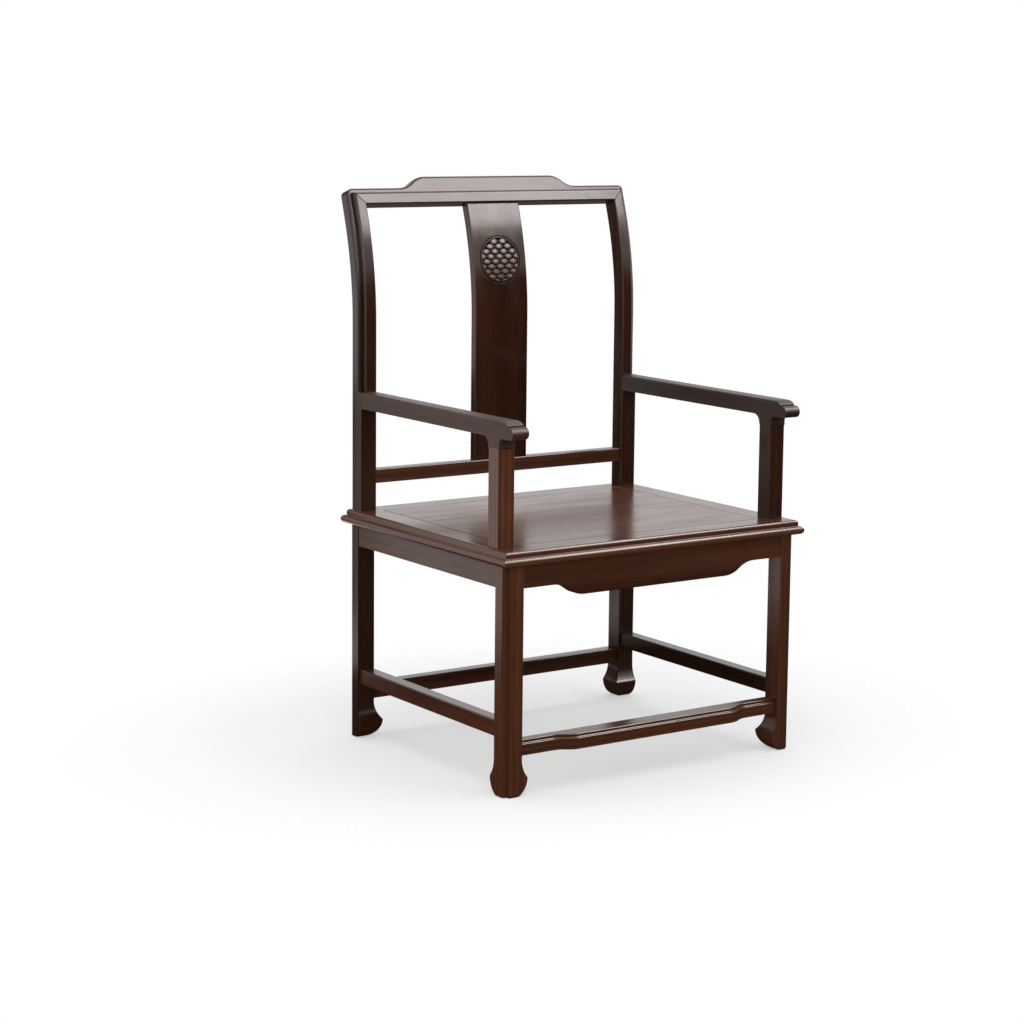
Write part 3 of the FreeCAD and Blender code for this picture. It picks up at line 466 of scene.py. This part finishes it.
def carving_tree():
    """Lays scales in staggered rows, keeps them inside a round and bends them to the splat."""
    tree = bpy.data.node_groups.new("fish_scale_carving", "GeometryNodeTree")
    tree.interface.new_socket("Geometry", in_out="INPUT", socket_type="NodeSocketGeometry")
    for name in ("Pitch Across", "Pitch Up", "Drop", "Field", "Bend", "Centre Y", "Centre Z", "Turn"):
        tree.interface.new_socket(name, in_out="INPUT", socket_type="NodeSocketFloat")
    for name in ("Finish", "Shade Finish"):
        tree.interface.new_socket(name, in_out="INPUT", socket_type="NodeSocketMaterial")
    tree.interface.new_socket("Geometry", in_out="OUTPUT", socket_type="NodeSocketGeometry")
    given = tree.nodes.new("NodeGroupInput").outputs
    result = tree.nodes.new("NodeGroupOutput").inputs
    link = tree.links.new

    def sum_of(operation, *values):
        made = node_in(tree, "ShaderNodeMath", operation=operation)
        for value, socket in zip(values, made.inputs):
            if isinstance(value, (int, float)):
                socket.default_value = value
            else:
                link(value, socket)
        return made.outputs["Value"]

    def place_parts():
        parts = tree.nodes.new("ShaderNodeSeparateXYZ")
        link(tree.nodes.new("GeometryNodeInputPosition").outputs["Position"], parts.inputs["Vector"])
        return parts.outputs["X"], parts.outputs["Y"], parts.outputs["Z"]

    def moved(geometry, x, y, z):
        spot = tree.nodes.new("ShaderNodeCombineXYZ")
        for value, socket in zip((x, y, z), spot.inputs):
            link(value, socket)
        made = tree.nodes.new("GeometryNodeSetPosition")
        link(geometry, made.inputs["Geometry"])
        link(spot.outputs["Vector"], made.inputs["Position"])
        return made.outputs["Geometry"]

    columns = 7
    rows = 13
    edge_overlap = 0.006
    shade_share = 0.55
    least_reach = 0.0001
    grid = tree.nodes.new("GeometryNodeMeshGrid")
    grid.inputs["Size X"].default_value = columns - 1
    grid.inputs["Size Y"].default_value = rows - 1
    grid.inputs["Vertices X"].default_value = columns
    grid.inputs["Vertices Y"].default_value = rows
    column, row, level = place_parts()
    row_round = sum_of("ROUND", row)
    odd_row = sum_of("MODULO", sum_of("ABSOLUTE", row_round), 2)
    half_step = sum_of("MULTIPLY", sum_of("SUBTRACT", 1, odd_row), 0.5)
    across = sum_of("MULTIPLY", sum_of("ADD", column, half_step), given["Pitch Across"])
    up = sum_of("SUBTRACT", sum_of("MULTIPLY", row_round, given["Pitch Up"]), given["Drop"])
    laid = moved(grid.outputs["Mesh"], across, up, level)

    def from_centre(x, y):
        return sum_of("SQRT", sum_of("ADD", sum_of("MULTIPLY", x, x), sum_of("MULTIPLY", y, y)))

    column, row = place_parts()[:2]
    outside = node_in(tree, "FunctionNodeCompare", data_type="FLOAT", operation="GREATER_THAN")
    link(from_centre(column, row), outside.inputs["A"])
    link(sum_of("ADD", given["Field"], edge_overlap), outside.inputs["B"])
    inside = node_in(tree, "GeometryNodeDeleteGeometry", domain="POINT")
    link(laid, inside.inputs["Geometry"])
    link(outside.outputs["Result"], inside.inputs["Selection"])
    tiles = tree.nodes.new("GeometryNodeInstanceOnPoints")
    link(inside.outputs["Geometry"], tiles.inputs["Points"])
    link(given["Geometry"], tiles.inputs["Instance"])
    real = tree.nodes.new("GeometryNodeRealizeInstances")
    link(tiles.outputs["Instances"], real.inputs["Geometry"])

    column, row, level = place_parts()
    away = sum_of("MAXIMUM", from_centre(column, row), least_reach)
    share = sum_of("MINIMUM", sum_of("DIVIDE", given["Field"], away), 1)
    across = sum_of("MULTIPLY", column, share)
    up = sum_of("MULTIPLY", row, share)
    trimmed = moved(real.outputs["Geometry"], across, up, level)

    column, row, level = place_parts()
    swing = sum_of("ADD", given["Turn"], sum_of("DIVIDE", row, given["Bend"]))
    reach = sum_of("ADD", given["Bend"], level)
    deep = sum_of("SUBTRACT", given["Centre Y"], sum_of("MULTIPLY", reach, sum_of("COSINE", swing)))
    high = sum_of("ADD", given["Centre Z"], sum_of("MULTIPLY", reach, sum_of("SINE", swing)))
    bent = moved(trimmed, column, deep, high)
    stained = tree.nodes.new("GeometryNodeSetMaterial")
    link(bent, stained.inputs["Geometry"])
    link(given["Finish"], stained.inputs["Material"])
    # Where the painted shade mark is strong, the scale takes the dark finish as painted shade.
    depth = node_in(tree, "GeometryNodeInputNamedAttribute", data_type="FLOAT")
    depth.inputs["Name"].default_value = "painted_shade"
    is_shaded = node_in(tree, "FunctionNodeCompare", data_type="FLOAT", operation="GREATER_THAN")
    is_shaded.inputs["B"].default_value = shade_share
    link(depth.outputs["Attribute"], is_shaded.inputs["A"])
    shade_painted = tree.nodes.new("GeometryNodeSetMaterial")
    link(stained.outputs["Geometry"], shade_painted.inputs["Geometry"])
    link(is_shaded.outputs["Result"], shade_painted.inputs["Selection"])
    link(given["Shade Finish"], shade_painted.inputs["Material"])
    link(shade_painted.outputs["Geometry"], result["Geometry"])
    return tree


carving = bpy.data.objects.new("medallion_scales", fish_scale())
scene.collection.objects.link(carving)
laying = carving.modifiers.new("laying", "NODES")
laying.node_group = carving_tree()
carving_inputs = {
    "Pitch Across": scale_pitch,
    "Pitch Up": scale_rise,
    "Drop": -0.0018,
    "Field": 0.0412,
    "Bend": splat_bend,
    "Centre Y": splat_bend_centre.y,
    "Centre Z": splat_bend_centre.z,
    "Turn": medallion_turn,
    "Finish": carving_finish,
    "Shade Finish": joint_line_and_shade_finish,
}
for socket in laying.node_group.interface.items_tree:
    if socket.item_type == "SOCKET" and socket.in_out == "INPUT" and socket.name in carving_inputs:
        laying[socket.identifier] = carving_inputs[socket.name]
laid_out = carving.evaluated_get(bpy.context.evaluated_depsgraph_get())
carved = bpy.data.meshes.new_from_object(laid_out)
carving.modifiers.clear()
carving.data = carved
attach(carving, "root")

# Arms: straight bars of the same wood, tenoned into the back posts, stepped and rounded at the tip.
# Each rests on a square post, tenoned into the arm above and the seat frame below.
# The left arm post's stain is paler, painted light; the right arm and its post are darker, painted shade.
arm_finish = walnut("walnut_arm", "Y", (0.44, 0.9, 0.1), satin=0.42)
arm_finish_shaded = walnut("walnut_arm_painted_shade", "Y", (0.71, 0.4, 0.6), tone_and_painted_light=0.45, satin=0.42)
arm_post_finish_lit = walnut("walnut_arm_post_painted_light", "Z", (0.52, 0.03, 0.4), tone_and_painted_light=1.9, figure=0.9)
arm_post_finish_shaded = walnut("walnut_arm_post_painted_shade", "Z", (0.12, 0.73, 0.9), tone_and_painted_light=0.55)
arm_arris = 0.0025
dressed("arm_left", "arm_bar_left", arm_finish, arm_arris)
dressed("arm_right", "arm_bar_right", arm_finish_shaded, arm_arris)
dressed("arm_post_left", "arm_support_left", arm_post_finish_lit)
dressed("arm_post_right", "arm_support_right", arm_post_finish_shaded)

# Studio: a sheet of pale paper under the chair, fading into a white surround, and three soft lamps.
# The rubbed wood mirrors more of the room: its dark floor and front wall, a black flag behind, and
# bright cards high at the front right. Those sheets are seen in the gloss alone.
paper = bpy.data.materials.new("floor_paper")
paper.use_nodes = True
tree = paper.node_tree
sheet = tree.nodes["Principled BSDF"]
sheet.inputs["Base Color"].default_value = (0.95, 0.95, 0.95, 1)
sheet.inputs["Roughness"].default_value = 0.9
sheet.inputs["Specular IOR Level"].default_value = 0.1
spot = tree.nodes.new("ShaderNodeTexCoord")
oval = tree.nodes.new("ShaderNodeMapping")
oval.inputs["Location"].default_value = (0, -0.16, 0)
oval.inputs["Scale"].default_value = (1.3, 1.6, 0)
away = node_in(tree, "ShaderNodeVectorMath", operation="LENGTH")
fade = node_in(tree, "ShaderNodeMapRange", interpolation_type="SMOOTHSTEP")
fade.inputs["From Min"].default_value = 0.7
fade.inputs["From Max"].default_value = 1.35
fade.inputs["To Min"].default_value = 0.45
clear = tree.nodes.new("ShaderNodeBsdfTransparent")
edge = tree.nodes.new("ShaderNodeMixShader")
tree.links.new(spot.outputs["Object"], oval.inputs["Vector"])
tree.links.new(oval.outputs["Vector"], away.inputs[0])
tree.links.new(away.outputs["Value"], fade.inputs["Value"])
tree.links.new(fade.outputs["Result"], edge.inputs["Fac"])
tree.links.new(sheet.outputs["BSDF"], edge.inputs[1])
tree.links.new(clear.outputs["BSDF"], edge.inputs[2])
tree.links.new(edge.outputs["Shader"], tree.nodes["Material Output"].inputs["Surface"])


def stage_sheet(name, corners, finish):
    mesh = bpy.data.meshes.new(name)
    mesh.from_pydata(corners, [], [range(len(corners))])
    mesh.materials.append(finish)
    made = bpy.data.objects.new(name, mesh)
    scene.collection.objects.link(made)
    return made


def level_corners(left, right, front, back, height):
    return [(left, front, height), (right, front, height), (right, back, height), (left, back, height)]


def upright_corners(left, right, depth, low, high):
    return [(left, depth, low), (right, depth, low), (right, depth, high), (left, depth, high)]


floor_reach = 2.7
floor_corners = level_corners(-floor_reach, floor_reach, -floor_reach, floor_reach, height=0)
floor = stage_sheet("floor", floor_corners, paper)
floor.visible_glossy = False


def mirrored_sheet(name, corners, finish):
    made = stage_sheet(name, corners, finish)
    made.visible_camera = False
    made.visible_diffuse = False
    made.visible_shadow = False


def matt_grey(name, grey):
    made = bpy.data.materials.new(name)
    made.use_nodes = True
    shader = made.node_tree.nodes["Principled BSDF"]
    shader.inputs["Base Color"].default_value = (grey, grey, grey, 1)
    shader.inputs["Roughness"].default_value = 1
    shader.inputs["Specular IOR Level"].default_value = 0
    return made


def glowing(name, colour, strength):
    made = bpy.data.materials.new(name)
    made.use_nodes = True
    shader = made.node_tree.nodes["Principled BSDF"]
    shader.inputs["Base Color"].default_value = (0, 0, 0, 1)
    shader.inputs["Emission Color"].default_value = (*colour, 1)
    shader.inputs["Emission Strength"].default_value = strength
    return made


unlit = matt_grey("unlit_room", grey=0.02)
dim = matt_grey("dim_room", grey=0.12)
room_side = 6.0
room_front = -4.5
room_rear = 0.78
room_top = 1.75
room_low = -0.01
dim_left = 0.3
dim_front = 0.6
dim_low = -0.012
mirrored_sheet("room_floor", level_corners(-room_side, room_side, room_front, room_rear, room_low), unlit)
mirrored_sheet("room_wall", upright_corners(-room_side, room_side, room_front, room_low, room_top), unlit)
mirrored_sheet("room_back", level_corners(dim_left, room_side, dim_front, room_side, dim_low), dim)

flag_depth = 1.2
flag_left = -0.92
flag_step = -0.6
flag_right = -0.15
flag_sill = 0.56
flag_top = 1.6
flag_corners = [
    (flag_left, flag_depth, 0),
    (flag_right, flag_depth, 0),
    (flag_right, flag_depth, flag_top),
    (flag_step, flag_depth, flag_top),
    (flag_step, flag_depth, flag_sill),
    (flag_left, flag_depth, flag_sill),
]
mirrored_sheet("room_flag", flag_corners, unlit)

card_aim = Vector((0, 0.27, 1.03))
card_far = 3.9
card_turn = math.radians(37)
card_lift = math.radians(30.6)
card_half_width = math.radians(10)
card_half_height = math.radians(9.4)
card_corners = []
for side, rise in ((-1, -1), (1, -1), (1, 1), (-1, 1)):
    turn = card_turn + side * card_half_width
    lift = card_lift + rise * card_half_height
    heading = Vector((math.sin(turn), -math.cos(turn), 0))
    towards = heading * math.cos(lift) + Vector((0, 0, math.sin(lift)))
    card_corners.append(card_aim + card_far * towards)
card_glow = glowing("bright_card", colour=(1, 0.97, 0.98), strength=9.9)
mirrored_sheet("bright_card", card_corners, card_glow)

edge_left = 1.7
edge_right = 2.95
edge_front = (-2.0, 3.04)
edge_back = (-0.47, 3.55)
edge_corners = [
    (edge_left, *edge_front),
    (edge_right, *edge_front),
    (edge_right, *edge_back),
    (edge_left, *edge_back),
]
edge_glow = glowing("edge_card", colour=(1, 0.95, 0.92), strength=16)
mirrored_sheet("edge_card", edge_corners, edge_glow)
# A white card over the crest keeps the edge card's glare off its top.
shade_corners = upright_corners(left=-0.1, right=0.95, depth=0.115, low=1.23, high=1.75)
shade_glow = glowing("white_card", colour=(1, 1, 1), strength=1)
mirrored_sheet("shade_card", shade_corners, shade_glow)


def soft_lamp(name, place, aim, width, power):
    light = bpy.data.lights.new(name, "AREA")
    light.shape = "SQUARE"
    light.size = width
    light.energy = power
    lamp = bpy.data.objects.new(name, light)
    scene.collection.objects.link(lamp)
    lamp.location = place
    lamp.rotation_euler = (Vector(aim) - Vector(place)).to_track_quat("-Z", "Y").to_euler()
    lamp.visible_camera = False


soft_lamp("key_softbox", place=(1.2, -2.2, 3.2), aim=(0, 0, 0.6), width=2.6, power=12)
soft_lamp("top_softbox", place=(0, 0, 4.2), aim=(0, 0, 0), width=5, power=45)
soft_lamp("side_softbox", place=(-1.5, -2.4, 1.9), aim=(-0.1, 0, 0.5), width=1.2, power=14)

surround = bpy.data.worlds.new("white_surround")
surround.use_nodes = True
scene.world = surround
tree = surround.node_tree
backing = tree.nodes["Background"]
backing.inputs["Color"].default_value = (1, 1, 1, 1)
seen = tree.nodes.new("ShaderNodeLightPath")
shown = node_in(tree, "ShaderNodeMath", operation="ADD")
shown_all = node_in(tree, "ShaderNodeMath", operation="ADD", use_clamp=True)
strength = tree.nodes.new("ShaderNodeMapRange")
strength.inputs["To Min"].default_value = 0.75
strength.inputs["To Max"].default_value = 1.0
tree.links.new(seen.outputs["Is Camera Ray"], shown.inputs[0])
tree.links.new(seen.outputs["Is Glossy Ray"], shown.inputs[1])
tree.links.new(shown.outputs["Value"], shown_all.inputs[0])
tree.links.new(seen.outputs["Is Transmission Ray"], shown_all.inputs[1])
tree.links.new(shown_all.outputs["Value"], strength.inputs["Value"])
tree.links.new(strength.outputs["Result"], backing.inputs["Strength"])

scene.view_settings.view_transform = "Standard"
